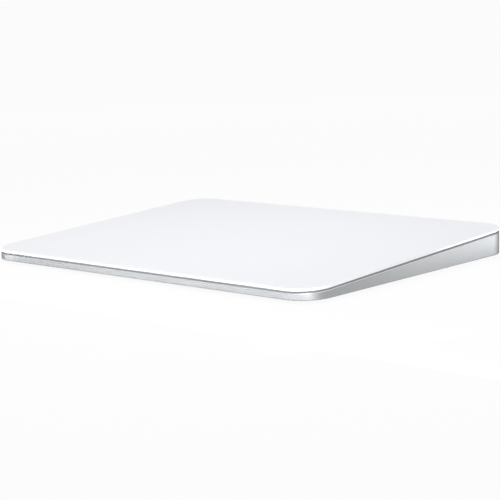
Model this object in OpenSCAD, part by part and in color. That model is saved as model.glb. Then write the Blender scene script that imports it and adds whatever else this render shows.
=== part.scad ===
// Wedge-shaped desk trackpad with a pressed and shaken glass plate, in millimetres.
// The table is z = 0, the thin edge faces the front (-Y) and the thick edge the rear (+Y).

/* [Body] */
// Width of the housing, left to right
body_w = 160; // [150:1:200]
// Depth of the housing, front to rear
body_d = 114.9; // [110:0.1:140]
// Height of the glass at the front edge, above the table
front_h = 4.9; // [4.8:0.1:7]
// Height of the glass at the rear edge, above the table
rear_h = 10.9; // [10.6:0.1:13]
// Corner radius of the housing in plan
corner_r = 10.5; // [8:0.5:14]
// Thickness of the side walls
wall_t = 1.5; // [1.4:0.1:2]
// Radius of the lower outer edge
lower_edge_r = 0.3; // [0.2:0.1:0.9]
// Chamfer along the upper outer edge of the walls
rim_chamfer = 0.2; // [0.1:0.05:0.4]
// Chamfer round the slots in the rear wall
slot_chamfer = 0.2; // [0.1:0.05:0.3]

/* [Bottom cover] */
// Thickness of the bottom cover
cover_t = 0.9; // [0.7:0.1:0.9]
// Width of the housing's rim round the cover
cover_rim = 2; // [1.6:0.1:3]
// Gap between the cover's edge and the rim
cover_gap = 0.1; // [0.05:0.05:0.2]
// Chamfer along the cover's lower edge
cover_chamfer = 0.15; // [0.1:0.05:0.3]
// Width of the ledge that the cover is bonded to
ledge_w = 3; // [2:0.1:4]
// Thickness of the ledge
ledge_t = 0.6; // [0.4:0.1:0.7]
// Thickness of the bonding tape
tape_t = 0.1; // [0.05:0.05:0.1]
// Distance from the tape's edges to the edges of what it joins
tape_inset = 0.4; // [0.2:0.1:0.8]

/* [Feet] */
// Height of the body's underside above the table
foot_h = 1; // [0.8:0.1:1]
// Diameter of a foot
foot_d = 10; // [6:0.5:14]
// Depth of the recess that holds a foot
foot_recess = 0.3; // [0.1:0.05:0.5]
// Radial gap between a foot and its recess
foot_gap = 0.1; // [0.05:0.05:0.2]
// Radius of a foot's lower edge
foot_edge_r = 0.3; // [0.1:0.05:0.5]
// Distance from the sides and the ends of the body to a foot's middle
foot_inset = 15; // [13:0.5:25]

/* [Touch plate] */
// Thickness of the glass
glass_t = 1; // [0.9:0.05:1.1]
// Radius of the glass's upper edge
glass_edge_r = 0.35; // [0.1:0.05:0.5]
// Distance that the glass stands back from the housing's outside
glass_inset = 0.1; // [0:0.05:0.4]
// Gap between the glass and the housing's rim
reveal = 0.6; // [0.45:0.05:0.6]
// Thickness of the film that bonds the glass to the sensor board
film_t = 0.1; // [0.05:0.05:0.15]
// Thickness of the sensor board
sensor_t = 0.8; // [0.6:0.05:0.8]
// Gap between the sensor board and the walls
sensor_gap = 1; // [0.6:0.1:2]
// Distance that the film stands back from the sensor board's edge
film_inset = 0.2; // [0.1:0.1:1]
// Height of the dark strip in the gap
liner_h = 0.3; // [0.2:0.05:0.3]
// Width of the dark strip
liner_w = 0.75; // [0.4:0.05:0.9]
// Distance from the housing's outside to the dark strip
liner_inset = 0.55; // [0.45:0.05:0.6]
// Width and length of the touch chip
touch_chip_w = 9; // [5:0.5:12]
// Height of the touch chip
touch_chip_h = 0.8; // [0.5:0.1:1]
// Distance from the body's middle forward to the touch chip
touch_chip_y = 30; // [22:1:36]

/* [Suspension] */
// Travel of the touch plate when it is pressed
press_travel = 0.15; // [0.05:0.01:0.15]
// Thickness of a gel pad
gel_t = 0.5; // [0.4:0.05:0.5]
// Diameter of a gel pad
gel_d = 9; // [6:0.5:10]
// Thickness of a flexure
flexure_t = 0.4; // [0.3:0.05:0.4]
// Length of a flexure
flexure_l = 26; // [24:0.5:28]
// Width of a flexure at its fixed end
flexure_w = 12; // [10:0.5:13]
// Length of a flexure's fixed end
flexure_root = 10; // [9:0.5:11]
// Width of a flexure's neck
neck_w = 7; // [5:0.5:9]
// Diameter of a flexure's round tip
tip_d = 11; // [10.5:0.5:12]
// Gap between a flexure and the side wall
flexure_gap = 0.4; // [0.2:0.1:0.6]
// Distance from the front of the body to the front flexures' middle
front_flexure_set = 24.5; // [23:0.5:27]
// Distance from a flexure's outer end to its screws
flexure_screw_in = 5.9; // [5.5:0.1:6.2]
// Length of the shelf that a flexure is screwed to
shelf_l = 12; // [11:0.5:12]
// Width that a shelf stands out past a flexure, each side
shelf_side = 1; // [0:0.25:1.5]
// Thickness of the rear shelves
shelf_t = 1.4; // [1.2:0.1:1.5]
// Distance of a flexure's screws from its middle, each way
flexure_screw_y = 3.5; // [3:0.25:4]
// Length of the notch in the sensor board over a flexure's screws
notch_l = 13; // [11:0.5:16]
// Depth of that notch beyond the screws' middle
notch_in = 2.5; // [1.8:0.1:3.5]
// Thickness of a strain gauge
gauge_t = 0.1; // [0.05:0.05:0.15]
// Width of a strain gauge
gauge_w = 4; // [3:0.5:5]
// Distance from a strain gauge to the neck's edges
gauge_edge = 0.5; // [0.2:0.1:0.8]
// Length of a strain gauge's tail past the neck
gauge_tail = 6; // [4:0.5:7]

/* [Haptic drive] */
// Room between the coils and the sensor board
coil_clear = 0.35; // [0.3:0.05:0.5]
// Thickness of a coil's winding
coil_t = 0.5; // [0.3:0.05:0.5]
// Length of a coil
coil_l = 18; // [12:0.5:19]
// Gap between a coil and the yoke
coil_end_gap = 1; // [0.5:0.1:2]
// Gap between a coil and its leg
coil_gap = 0.05; // [0.03:0.01:0.1]
// Thickness of a leg of the core
leg_t = 1.2; // [0.8:0.1:1.2]
// Width of a leg of the core
leg_w = 5; // [3:0.25:5.5]
// Length of a leg of the core
leg_l = 22; // [20:0.5:28]
// Distance between the legs' middles
leg_pitch = 8.5; // [7.5:0.25:8.5]
// Length of the core's yoke
yoke_l = 6; // [4:0.5:8]
// Distance that the yoke's top lies under the coils' tops
yoke_drop = 0.2; // [0.1:0.05:0.4]
// Thickness of the cross member
member_t = 0.6; // [0.4:0.05:0.6]
// Width of the cross member's middle plate
member_w = 24; // [24:0.5:25]
// Length of the cross member's middle plate
member_l = 44; // [38:1:50]
// Distance of the cross member's middle from the body's middle, towards the rear
member_y = 1; // [1:0.1:2]
// Width of the cross member's arms
arm_w = 10; // [8:0.5:10]
// Gap between the cross member's ends and the side walls
member_gap = 0.5; // [0.3:0.1:1]
// Length of the pads that carry the arms
arm_pad_l = 9; // [7:0.5:11]
// Distance from an arm's end to its screws
arm_screw_in = 4; // [3:0.25:5]
// Distance of an arm's screws from its middle, each way
arm_screw_y = 2.5; // [2:0.25:2.75]
// Thickness of the armature's bar
armature_t = 1.5; // [1:0.1:2]
// Gap between the core's tips and the armature
armature_gap = 0.4; // [0.3:0.05:0.8]
// Room under the armature's bar
armature_clear = 0.3; // [0.25:0.05:0.5]
// Length of the armature's flange
flange_l = 8; // [5:0.5:12]
// Thickness of the armature's flange
flange_t = 0.4; // [0.3:0.05:0.6]

/* [Battery] */
// Thickness of the tape under a cell
cell_tape_t = 0.15; // [0.05:0.05:0.2]
// Width of a strip of that tape
cell_tape_w = 8; // [4:0.5:10]
// Room between the cells and the sensor board
cell_clear = 0.4; // [0.3:0.05:0.8]
// Corner radius of a cell
cell_r = 1.5; // [0.5:0.25:3]
// Gap between the two cells
cell_gap = 2; // [1:0.5:5]
// Gap between the left cell and the left wall
cell_side = 18.5; // [16:0.5:30]
// Gap between the cross member and the cells
cell_front_gap = 2.2; // [1.5:0.1:6]
// Gap between the cells and the logic board
cell_board_gap = 5; // [3:0.5:8]
// Depth of the room for the port behind the cells
port_room = 10; // [9.5:0.1:14]
// Gap between the cells and the battery's own board
guard_gap = 0.1; // [0.05:0.05:0.3]
// Thickness of the battery's own board
guard_t = 0.8; // [0.6:0.1:1]
// Height of the battery's own board
guard_h = 3.4; // [3:0.1:3.8]

/* [Logic board] */
// Width of the logic board
board_w = 30; // [29:0.5:34]
// Gap between the cross member and the logic board
board_front_gap = 4; // [3:0.25:5]
// Thickness of the logic board
board_t = 0.8; // [0.6:0.1:1]
// Corner radius of the logic board
board_r = 2; // [0.5:0.5:3]
// Height of the logic board above the ledge's underside
board_lift = 1; // [0.8:0.1:1]
// Gap between the logic board and the right wall
board_side = 4.5; // [4:0.25:6]
// Gap between the logic board and the rear wall
board_rear_gap = 4; // [3.6:0.1:4.5]
// Width of the pads under the logic board
board_pad_w = 6; // [5:0.5:7]
// Length of the pads past the side screws, towards the board's middle
board_pad_in = 2.6; // [2:0.1:3]
// Distance from the logic board's right edge to its side screws
side_screw_in = 2.6; // [2.4:0.1:3]
// Distance from the logic board's front edge to its first screw
front_screw_y = 3; // [2.4:0.1:3.5]
// Distance from the logic board's rear edge to its second screw
second_screw_y = 9; // [8:0.25:9]
// Distance from the logic board's left edge to its third screw
third_screw_x = 9.2; // [9:0.1:9.4]
// Distance from the logic board's rear edge to its third screw
third_screw_y = 2.4; // [2.2:0.1:2.6]
// Distance from the logic board's left edge to its chips
chip_x = 4.5; // [4:0.25:4.5]
// Distance from the logic board's front edge to its chips
chip_y = 9.5; // [9.5:0.1:9.8]
// Gap between chips on the logic board
chip_gap = 1; // [0.6:0.1:1]
// Height of the processor
processor_h = 1; // [0.6:0.1:1.2]
// Width and length of the processor
processor_w = 9; // [6:0.5:9]
// Width and length of the charger chip
charger_w = 4; // [3:0.5:5]
// Height of the charger chip
charger_h = 0.8; // [0.5:0.1:1]
// Width of the radio's shield
shield_w = 10; // [7:0.5:10]
// Length of the radio's shield
shield_l = 10; // [6:0.5:11]
// Height of the radio's shield
shield_h = 1.5; // [1:0.1:1.5]
// Thickness of the shield's sheet
shield_t = 0.2; // [0.15:0.05:0.3]
// Height of the antenna
antenna_h = 1.3; // [0.8:0.1:1.4]
// Length of the antenna
antenna_l = 5; // [4:0.5:5.5]
// Depth of the antenna
antenna_d = 2.5; // [1.5:0.1:3]
// Thickness of the antenna's sheet
antenna_t = 0.25; // [0.15:0.05:0.3]
// Thickness of the flat cables
flat_t = 0.15; // [0.1:0.05:0.2]
// Width of the touch plate's flat cable
touch_flat_w = 10; // [6:0.5:10]
// Height of the connectors
connector_h = 1; // [0.8:0.1:1.2]
// Length of the connectors along the logic board's left edge
connector_l = 4; // [3:0.1:4]
// Depth of the front connectors
connector_d = 2.5; // [2:0.1:2.5]
// Distance from the logic board's edges to the front connectors
connector_in = 2; // [1.5:0.1:2]
// Distance from the logic board's right edge to the touch plate's flat cable
touch_flat_in = 6; // [5.5:0.1:6]
// Straight length of the touch plate's flat cable at the connector
touch_flat_l = 1.5; // [1.2:0.1:1.5]
// Length of the touch plate's flat cable under the sensor board
touch_flat_pad = 5; // [3:0.5:5]
// Width of the coils' flat cable
haptic_flat_w = 4; // [3:0.25:4]
// Width of the battery's flat cable
battery_flat_w = 1.4; // [1:0.1:1.4]
// Length of the battery's flat cable on the battery's own board
battery_flat_l = 8; // [5:0.5:12]

/* [Port] */
// Width of the port's opening
port_w = 8.34; // [8.34:0.01:8.34]
// Height of the port's opening
port_h = 2.56; // [2.56:0.01:2.56]
// Thickness of the port's shell
port_shell_t = 0.3; // [0.2:0.05:0.3]
// Length of the port's shell
port_l = 7.35; // [7:0.05:7.5]
// Height of the port's middle above the table
port_z = 5.2; // [5:0.1:5.4]
// Distance that the shell's mouth lies inside the rear wall's outside
port_set = 0.3; // [0.2:0.05:0.6]
// Gap between the shell and the housing's slot
port_gap = 0.15; // [0.1:0.05:0.3]
// Gap between the shell and the block that holds the tongue
tongue_gap = 0.05; // [0.03:0.01:0.1]
// Length of the block that holds the tongue
tongue_block = 1.6; // [1:0.1:2]
// Width of the tongue
tongue_w = 6.69; // [6.69:0.01:6.69]
// Thickness of the tongue
tongue_t = 0.7; // [0.7:0.01:0.7]
// Length of the tongue
tongue_l = 4.45; // [4.2:0.05:4.6]
// Distance between the contacts' middles
contact_pitch = 0.5; // [0.5:0.01:0.5]
// Width of a contact
contact_w = 0.25; // [0.2:0.01:0.3]
// Length of a contact
contact_l = 3.4; // [3:0.1:3.8]
// Distance from the tongue's tip to the contacts
contact_in = 0.5; // [0.3:0.05:0.6]
// Thickness of a contact
contact_t = 0.05; // [0.03:0.01:0.08]
// Width of the port's board
port_board_w = 21; // [20:0.5:24]
// Length of the port's board
port_board_l = 7; // [6.5:0.1:7.2]
// Thickness of the port's board
port_board_t = 0.8; // [0.6:0.1:0.8]
// Gap between the port's board and the rear wall
port_board_gap = 0.35; // [0.2:0.05:0.6]
// Distance of the port board's screws from the middle
port_screw_x = 8; // [7:0.25:8.5]
// Distance from the rear wall's inside to the port board's screws
port_screw_y = 2; // [1.8:0.05:2.3]
// Width of the port's flat cable
port_flat_w = 2.6; // [2:0.1:2.8]
// Distance from the logic board's rear edge to the port's flat cable
port_flat_edge = 0.6; // [0.4:0.1:0.8]
// Distance that the port's flat cable runs in past the port board's screws
port_flat_in = 3; // [2:0.25:3]
// Length of the port's flat cable that lies flat past a board's edge
port_flat_lead = 3; // [2:0.5:5]

/* [Power switch] */
// Travel of the knob
knob_travel = 2; // [1:0.1:2.5]
// Length of the knob
knob_l = 4; // [3:0.1:4]
// Height of the knob
knob_h = 1.6; // [1.2:0.1:1.8]
// Gap round the knob in its slot
knob_gap = 0.15; // [0.1:0.05:0.25]
// Distance that the knob lies inside the rear wall's outside
knob_set = 0.2; // [0.1:0.05:0.4]
// Distance from the logic board's left edge to the slot's middle
slot_x = 19; // [18.5:0.1:19.5]
// Overlap of the carriage past the slot, each side
carriage_over = 0.3; // [0.2:0.05:0.4]
// Height of the carriage
carriage_h = 2.6; // [2.4:0.1:2.8]
// Gap between the carriage and the rear wall
carriage_gap = 0.25; // [0.2:0.05:0.3]
// Thickness of the carriage
carriage_t = 0.9; // [0.7:0.05:0.95]
// Gap between the colour tab and the knob
tab_gap = 0.05; // [0.03:0.01:0.1]
// Thickness of the colour tab
tab_t = 0.12; // [0.08:0.02:0.14]
// Gap between the carriage and the switch body
switch_gap = 0.3; // [0.2:0.05:0.4]
// Length of the switch body
switch_l = 11; // [10.5:0.1:11]
// Depth of the switch body
switch_d = 4; // [3.5:0.1:4.5]
// Height of the switch body
switch_h = 2.8; // [2.6:0.1:3]
// Length of the carriage's peg
peg_l = 1.4; // [1:0.1:1.6]
// Thickness of the carriage's peg
peg_t = 1; // [0.8:0.1:1.2]
// Gap round the peg in the switch body
peg_gap = 0.2; // [0.1:0.05:0.3]

/* [Screws] */
// Diameter of a screw's shank
screw_d = 1.2; // [1:0.05:1.3]
// Diameter of a screw's head
head_d = 2.6; // [2.2:0.1:2.8]
// Height of a screw's head
head_h = 0.55; // [0.4:0.05:0.6]
// Depth of a screw in what it holds on to
screw_bite = 0.75; // [0.6:0.05:0.8]
// Radial gap between a shank and its hole
screw_gap = 0.05; // [0.03:0.01:0.1]
// Room under a screw's tip
screw_tip_gap = 0.05; // [0.02:0.01:0.1]
// Width of the slot in a head
drive_w = 0.35; // [0.25:0.05:0.5]
// Depth of the slot in a head
drive_h = 0.25; // [0.15:0.05:0.3]

/* [Hidden] */
$fn = 64;
cut = 1;
half_w = body_w / 2;
half_d = body_d / 2;
inner_w = half_w - wall_t;
inner_d = half_d - wall_t;
mid_h = (front_h + rear_h) / 2;
tilt = atan((rear_h - front_h) / body_d);
slope_d = body_d / cos(tilt);

// Levels above the table
base_z = foot_h;
cover_top = base_z + cover_t;
ledge_z = cover_top + tape_t;
ledge_top = ledge_z + ledge_t;
cell_z = cover_top + cell_tape_t;
board_z = ledge_z + board_lift;
board_top = board_z + board_t;

// Levels under the glass's top, square to it
glass_n = -glass_t;
rim_n = glass_n - reveal;
film_n = glass_n - film_t;
sensor_n = film_n - sensor_t;
gel_n = sensor_n - gel_t;
flexure_n = gel_n - flexure_t;
coil_top_n = sensor_n - coil_clear;
coil_h = leg_t + 2 * (coil_t + coil_gap);
member_top_n = coil_top_n - coil_h;
member_n = member_top_n - member_t;

// Places of the suspension
front_flexure_y = front_flexure_set - half_d;
rear_flexure_y = half_d - corner_r - flexure_w / 2;
flexure_end = inner_w - flexure_gap;
flexure_screw_x = flexure_end - flexure_screw_in;
tip_x = flexure_end - flexure_l + tip_d / 2;
gauge_x = (tip_x + tip_d / 2 + flexure_end - flexure_root) / 2;

// Places of the haptic drive
core_tip_x = -leg_l / 2 - yoke_l / 2;
yoke_x = core_tip_x + leg_l;
armature_x = core_tip_x - armature_gap;
member_end = inner_w - member_gap;
arm_y = member_y + member_w / 2 - arm_w / 2;
arm_screw_x = member_end - arm_screw_in;

// Places of the logic board, the cells and the port
board_right = inner_w - board_side;
board_left = board_right - board_w;
board_rear = inner_d - board_rear_gap;
board_front = member_y + member_w / 2 + board_front_gap;
board_l = board_rear - board_front;
cell_left = -inner_w + cell_side;
cell_right = board_left - cell_board_gap;
cell_l = (cell_right - cell_left - cell_gap) / 2;
cell_front = member_y + member_w / 2 + cell_front_gap;
cell_rear = inner_d - port_room;
cell_d = cell_rear - cell_front;
cell_t = deck_z(cell_front, sensor_n) - press_travel - cell_clear - cell_z;
guard_rear = cell_rear + guard_gap + guard_t;
shell_w = port_w + 2 * port_shell_t;
shell_h = port_h + 2 * port_shell_t;
port_mouth = half_d - port_set;
port_board_z = port_z - shell_h / 2 - port_board_t;
port_board_rear = inner_d - port_board_gap;
port_flat_y = board_rear - port_flat_edge - port_flat_w;
port_flat_x = port_screw_x - port_flat_in;
connector_x = board_left + connector_in / 2;
touch_flat_x = board_right - touch_flat_in - touch_flat_w;

// Places of the power switch
slot_mid = board_left + slot_x;
slot_l = knob_l + knob_travel + 2 * knob_gap;
slot_left = slot_mid - slot_l / 2;
knob_x = slot_left + knob_gap;
carriage_rear = inner_d - carriage_gap;
carriage_front = carriage_rear - carriage_t;
carriage_x = slot_left - carriage_over - knob_travel;
carriage_l = slot_l + 2 * carriage_over + knob_travel;
switch_rear = carriage_front - switch_gap;

// Places of the logic board's screws
board_screws_at = [
    [board_right - side_screw_in, board_front + front_screw_y],
    [board_right - side_screw_in, board_rear - second_screw_y],
    [board_left + third_screw_x, board_rear - third_screw_y]
];

// Height above the table of a level n under the glass's top, at depth y
function deck_z(y, n) = mid_h + y * tan(tilt) + n / cos(tilt);

// The point at depth y and height z, as distances along and across the glass's top
function deck_point(y, z) = [
    y * cos(tilt) + (z - mid_h) * sin(tilt),
    (z - mid_h) * cos(tilt) - y * sin(tilt)
];

// Outline of a ribbon of thickness t along the points p
function unit(v) = v / norm(v);
function along(p, i) = unit(p[min(i + 1, len(p) - 1)] - p[max(i - 1, 0)]);
function side(p, i) = [-along(p, i)[1], along(p, i)[0]];
function ribbon(p, t) = concat(
    [for (i = [0 : len(p) - 1]) p[i] + side(p, i) * t / 2],
    [for (i = [len(p) - 1 : -1 : 0]) p[i] - side(p, i) * t / 2]
);

// Shared shapes

module rounded_rect(w, d, r) {
    square([w - 2 * r, d], center = true);
    square([w, d - 2 * r], center = true);
    for (sx = [-1, 1], sy = [-1, 1])
        translate([sx * (w / 2 - r), sy * (d / 2 - r)]) circle(r);
}

module body_outline(inset) {
    rounded_rect(body_w - 2 * inset, body_d - 2 * inset, corner_r - inset);
}

module slope_outline(inset) {
    rounded_rect(body_w - 2 * inset, slope_d - 2 * inset, corner_r - inset);
}

// A slab whose edge has the child's outline: x runs from the corner's middle to the outside
module edged_slab(w, d, r, h) {
    translate([r - w / 2, r - d / 2, 0]) cube([w - 2 * r, d - 2 * r, h]);
    for (i = [0 : 3]) {
        a = i % 2 == 0 ? w / 2 - r : d / 2 - r;
        b = i % 2 == 0 ? d / 2 - r : w / 2 - r;
        rotate(90 * i) translate([a, b, 0]) {
            rotate([90, 0, 0]) linear_extrude(2 * b) children();
            rotate_extrude(angle = 90) children();
        }
    }
}

module stadium(w, h) {
    square([w - h, h], center = true);
    for (sx = [-1, 1]) translate([sx * (w - h) / 2, 0]) circle(h / 2);
}

// Extrudes towards the front from the plane y, seen from the front
module from_rear(y, l) {
    translate([0, y, 0]) rotate([90, 0, 0]) linear_extrude(l) children();
}

// A slot through the rear wall, with a chamfer at its outside
module rear_slot(w, h) {
    c = slot_chamfer;
    x = (w - h) / 2;
    from_rear(half_d + cut, wall_t + 2 * cut) stadium(w, h);
    for (sx = [-1, 1])
        translate([sx * x, half_d, 0]) rotate([90, 0, 0])
            cylinder(r1 = h / 2 + c, r2 = h / 2, h = c);
    translate([-x, half_d, 0]) rotate([90, 0, 90]) linear_extrude(2 * x)
        polygon([[0, -h / 2 - c], [0, h / 2 + c], [-c, h / 2], [-c, -h / 2]]);
}

// A frame on the glass's top plane, with z square to it
module deck() {
    translate([0, 0, mid_h]) rotate([tilt, 0, 0]) children();
}

// A frame at a level under the glass, straight under the middle of the body
module deck_level(n) {
    translate([0, 0, deck_z(0, n)]) rotate([tilt, 0, 0]) children();
}

module above_deck(n) {
    deck() translate([-body_w, -body_d, n]) cube([2 * body_w, 2 * body_d, 4 * rear_h]);
}

// A slotted screw whose head stands on z = 0
module screw(grip) {
    difference() {
        cylinder(d = head_d, h = head_h);
        translate([-head_d, -drive_w / 2, head_h - drive_h])
            cube([2 * head_d, drive_w, drive_h + cut]);
    }
    translate([0, 0, -grip - screw_bite]) cylinder(d = screw_d, h = grip + screw_bite);
}

module screw_hole(depth) {
    translate([0, 0, -depth]) cylinder(r = screw_d / 2 + screw_gap, h = depth + cut);
}

module at_flexures() {
    for (sx = [-1, 1], y = [front_flexure_y, rear_flexure_y], k = [-1, 1])
        deck() translate([sx * flexure_screw_x, y + k * flexure_screw_y, gel_n]) children();
}

module at_arms() {
    for (sx = [-1, 1], k = [-1, 1])
        deck() translate([sx * arm_screw_x, arm_y + k * arm_screw_y, member_top_n]) children();
}

module at_board() {
    for (p = board_screws_at) translate([p[0], p[1], board_top]) children();
}

module at_port() {
    for (sx = [-1, 1])
        translate([sx * port_screw_x, inner_d - port_screw_y, port_board_z + port_board_t])
            children();
}

// Body

module housing_shell() {
    cap_over = 1;
    cap_r = corner_r + cap_over;
    cap_h = 3 * rear_h;
    cap_c = cap_over + rim_chamfer;
    difference() {
        intersection() {
            translate([0, 0, base_z]) edged_slab(body_w, body_d, corner_r, rear_h) {
                translate([0, lower_edge_r]) square([corner_r, rear_h - lower_edge_r]);
                square([corner_r - lower_edge_r, lower_edge_r]);
                translate([corner_r - lower_edge_r, lower_edge_r]) circle(lower_edge_r);
            }
            deck_level(rim_n) translate([0, 0, -cap_h])
                edged_slab(body_w + 2 * cap_over, slope_d + 2 * cap_over, cap_r, cap_h)
                    polygon([[0, 0], [cap_r, 0], [cap_r, cap_h - cap_c],
                        [cap_r - cap_c, cap_h], [0, cap_h]]);
        }
        translate([0, 0, base_z - cut]) linear_extrude(cover_t + tape_t + cut)
            body_outline(cover_rim);
        translate([0, 0, base_z]) linear_extrude(rear_h) body_outline(cover_rim + ledge_w);
        translate([0, 0, ledge_top]) linear_extrude(rear_h) body_outline(wall_t);
    }
}

module flexure_shelves() {
    half = flexure_w / 2 + shelf_side;
    x = inner_w - shelf_l;
    for (sx = [-1, 1]) {
        difference() {
            translate([sx > 0 ? x : -x - shelf_l - wall_t / 2, front_flexure_y - half, ledge_z])
                cube([shelf_l + wall_t / 2, 2 * half, rear_h]);
            above_deck(flexure_n);
        }
        deck() translate([sx > 0 ? x : -x - shelf_l - wall_t / 2,
            rear_flexure_y - half, flexure_n - shelf_t])
            cube([shelf_l + wall_t / 2, 2 * half, shelf_t]);
    }
}

module arm_pads() {
    x = inner_w - arm_pad_l;
    for (sx = [-1, 1])
        difference() {
            translate([sx > 0 ? x : -x - arm_pad_l - wall_t / 2, arm_y - arm_w / 2, ledge_z])
                cube([arm_pad_l + wall_t / 2, arm_w, rear_h]);
            above_deck(member_n);
        }
}

module board_pads() {
    side_x = board_right - side_screw_in - board_pad_in;
    rear_y = board_rear - third_screw_y - board_pad_in;
    for (p = [board_screws_at[0], board_screws_at[1]])
        translate([side_x, p[1] - board_pad_w / 2, ledge_z])
            cube([inner_w + wall_t / 2 - side_x, board_pad_w, board_lift]);
    translate([board_screws_at[2][0] - board_pad_w / 2, rear_y, ledge_z])
        cube([board_pad_w, inner_d + wall_t / 2 - rear_y, board_lift]);
}

module port_shelf() {
    front = port_board_rear - port_board_l;
    translate([-port_board_w / 2, front, ledge_z])
        cube([port_board_w, inner_d + wall_t / 2 - front, port_board_z - ledge_z]);
}

module housing() {
    color("Silver") difference() {
        union() {
            housing_shell();
            flexure_shelves();
            arm_pads();
            board_pads();
            port_shelf();
        }
        at_flexures() screw_hole(flexure_t + screw_bite + screw_tip_gap);
        at_arms() screw_hole(member_t + screw_bite + screw_tip_gap);
        at_board() screw_hole(board_t + screw_bite + screw_tip_gap);
        at_port() screw_hole(port_board_t + screw_bite + screw_tip_gap);
        translate([0, 0, port_z])
            rear_slot(shell_w + 2 * port_gap, shell_h + 2 * port_gap);
        translate([slot_mid, 0, port_z]) rear_slot(slot_l, knob_h + 2 * knob_gap);
    }
}

module bottom_cover() {
    inset = cover_rim + cover_gap;
    r = corner_r - inset;
    color("Gainsboro") difference() {
        translate([0, 0, base_z])
            edged_slab(body_w - 2 * inset, body_d - 2 * inset, r, cover_t)
                polygon([[0, 0], [r - cover_chamfer, 0], [r, cover_chamfer],
                    [r, cover_t], [0, cover_t]]);
        for (sx = [-1, 1], sy = [-1, 1])
            translate([sx * (half_w - foot_inset), sy * (half_d - foot_inset), base_z - cut])
                cylinder(r = foot_d / 2 + foot_gap, h = foot_recess + cut);
    }
}

module cover_tape() {
    color("DimGray") translate([0, 0, cover_top]) linear_extrude(tape_t) difference() {
        body_outline(cover_rim + cover_gap + tape_inset);
        body_outline(cover_rim + ledge_w - tape_inset);
    }
}

module foot(sx, sy) {
    r = foot_d / 2;
    e = foot_edge_r;
    h = foot_h + foot_recess;
    color("WhiteSmoke") translate([sx * (half_w - foot_inset), sy * (half_d - foot_inset), 0])
        rotate_extrude() {
            square([r - e, h]);
            translate([0, e]) square([r, h - e]);
            intersection() {
                translate([r - e, e]) circle(e);
                square([r, e]);
            }
        }
}

module foot_front_left() { foot(-1, -1); }
module foot_front_right() { foot(1, -1); }
module foot_rear_left() { foot(-1, 1); }
module foot_rear_right() { foot(1, 1); }

module gap_liner() {
    color("DarkSlateGray") deck_level(rim_n) linear_extrude(liner_h) difference() {
        slope_outline(liner_inset);
        slope_outline(liner_inset + liner_w);
    }
}

// Touch plate

module glass_plate() {
    r = corner_r - glass_inset;
    e = glass_edge_r;
    color("White") deck_level(glass_n)
        edged_slab(body_w - 2 * glass_inset, slope_d - 2 * glass_inset, r, glass_t) {
            square([r - e, glass_t]);
            square([r, glass_t - e]);
            translate([r - e, glass_t - e]) circle(e);
        }
}

module glass_film() {
    color("LightGray") deck_level(film_n) linear_extrude(film_t)
        slope_outline(wall_t + sensor_gap + film_inset);
}

module sensor_board() {
    notch_x = flexure_screw_x - notch_in;
    color("DarkGreen") deck_level(sensor_n) linear_extrude(sensor_t) difference() {
        slope_outline(wall_t + sensor_gap);
        for (sx = [-1, 1], y = [front_flexure_y, rear_flexure_y])
            translate([sx > 0 ? notch_x : -notch_x - half_w, y - notch_l / 2])
                square([half_w, notch_l]);
    }
}

module touch_chip() {
    color("Black") deck() translate([-touch_chip_w / 2, -touch_chip_y - touch_chip_w / 2,
        sensor_n - touch_chip_h]) cube([touch_chip_w, touch_chip_w, touch_chip_h]);
}

module armature() {
    l = 2 * leg_pitch + leg_w;
    bar_n = member_top_n + armature_clear;
    color("SlateGray") deck() translate([armature_x, member_y - l / 2, 0]) {
        translate([-armature_t, 0, bar_n]) cube([armature_t, l, sensor_n - bar_n]);
        translate([-armature_t - flange_l, 0, sensor_n - flange_t])
            cube([armature_t + flange_l, l, flange_t]);
    }
}

// Suspension

module gel(sx, y) {
    color("MediumPurple") deck() translate([sx * tip_x, y, gel_n]) cylinder(d = gel_d, h = gel_t);
}

module gel_front_left() { gel(-1, front_flexure_y); }
module gel_front_right() { gel(1, front_flexure_y); }
module gel_rear_left() { gel(-1, rear_flexure_y); }
module gel_rear_right() { gel(1, rear_flexure_y); }

module flexure(sx, y) {
    color("LightSteelBlue") difference() {
        deck() translate([0, y, flexure_n]) mirror([sx > 0 ? 0 : 1, 0, 0])
            linear_extrude(flexure_t) {
                translate([flexure_end - flexure_root, -flexure_w / 2])
                    square([flexure_root, flexure_w]);
                translate([tip_x, -neck_w / 2])
                    square([flexure_end - flexure_root / 2 - tip_x, neck_w]);
                translate([tip_x, 0]) circle(d = tip_d);
            }
        at_flexures() screw_hole(flexure_t + cut);
    }
}

module flexure_front_left() { flexure(-1, front_flexure_y); }
module flexure_front_right() { flexure(1, front_flexure_y); }
module flexure_rear_left() { flexure(-1, rear_flexure_y); }
module flexure_rear_right() { flexure(1, rear_flexure_y); }

// A foil gauge on the neck, with a tail that rises to the sensor board
module gauge(sx, y) {
    low = gel_n + gauge_t / 2;
    high = sensor_n - gauge_t / 2;
    start = neck_w / 2 + gauge_edge;
    points = [
        [-neck_w / 2 + gauge_edge, low], [0, low], [start, low],
        [start + gauge_tail * 0.3, low + (high - low) * 0.3],
        [start + gauge_tail * 0.5, low + (high - low) * 0.8],
        [start + gauge_tail * 0.7, high], [start + gauge_tail, high]
    ];
    color("Orange") deck() translate([sx * gauge_x + gauge_w / 2, y, 0]) rotate([90, 0, -90])
        mirror([1, 0, 0]) linear_extrude(gauge_w) polygon(ribbon(points, gauge_t));
}

module gauge_front_left() { gauge(-1, front_flexure_y); }
module gauge_front_right() { gauge(1, front_flexure_y); }
module gauge_rear_left() { gauge(-1, rear_flexure_y); }
module gauge_rear_right() { gauge(1, rear_flexure_y); }

module flexure_screws() {
    color("DarkGray") at_flexures() screw(flexure_t);
}

// Haptic drive

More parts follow.
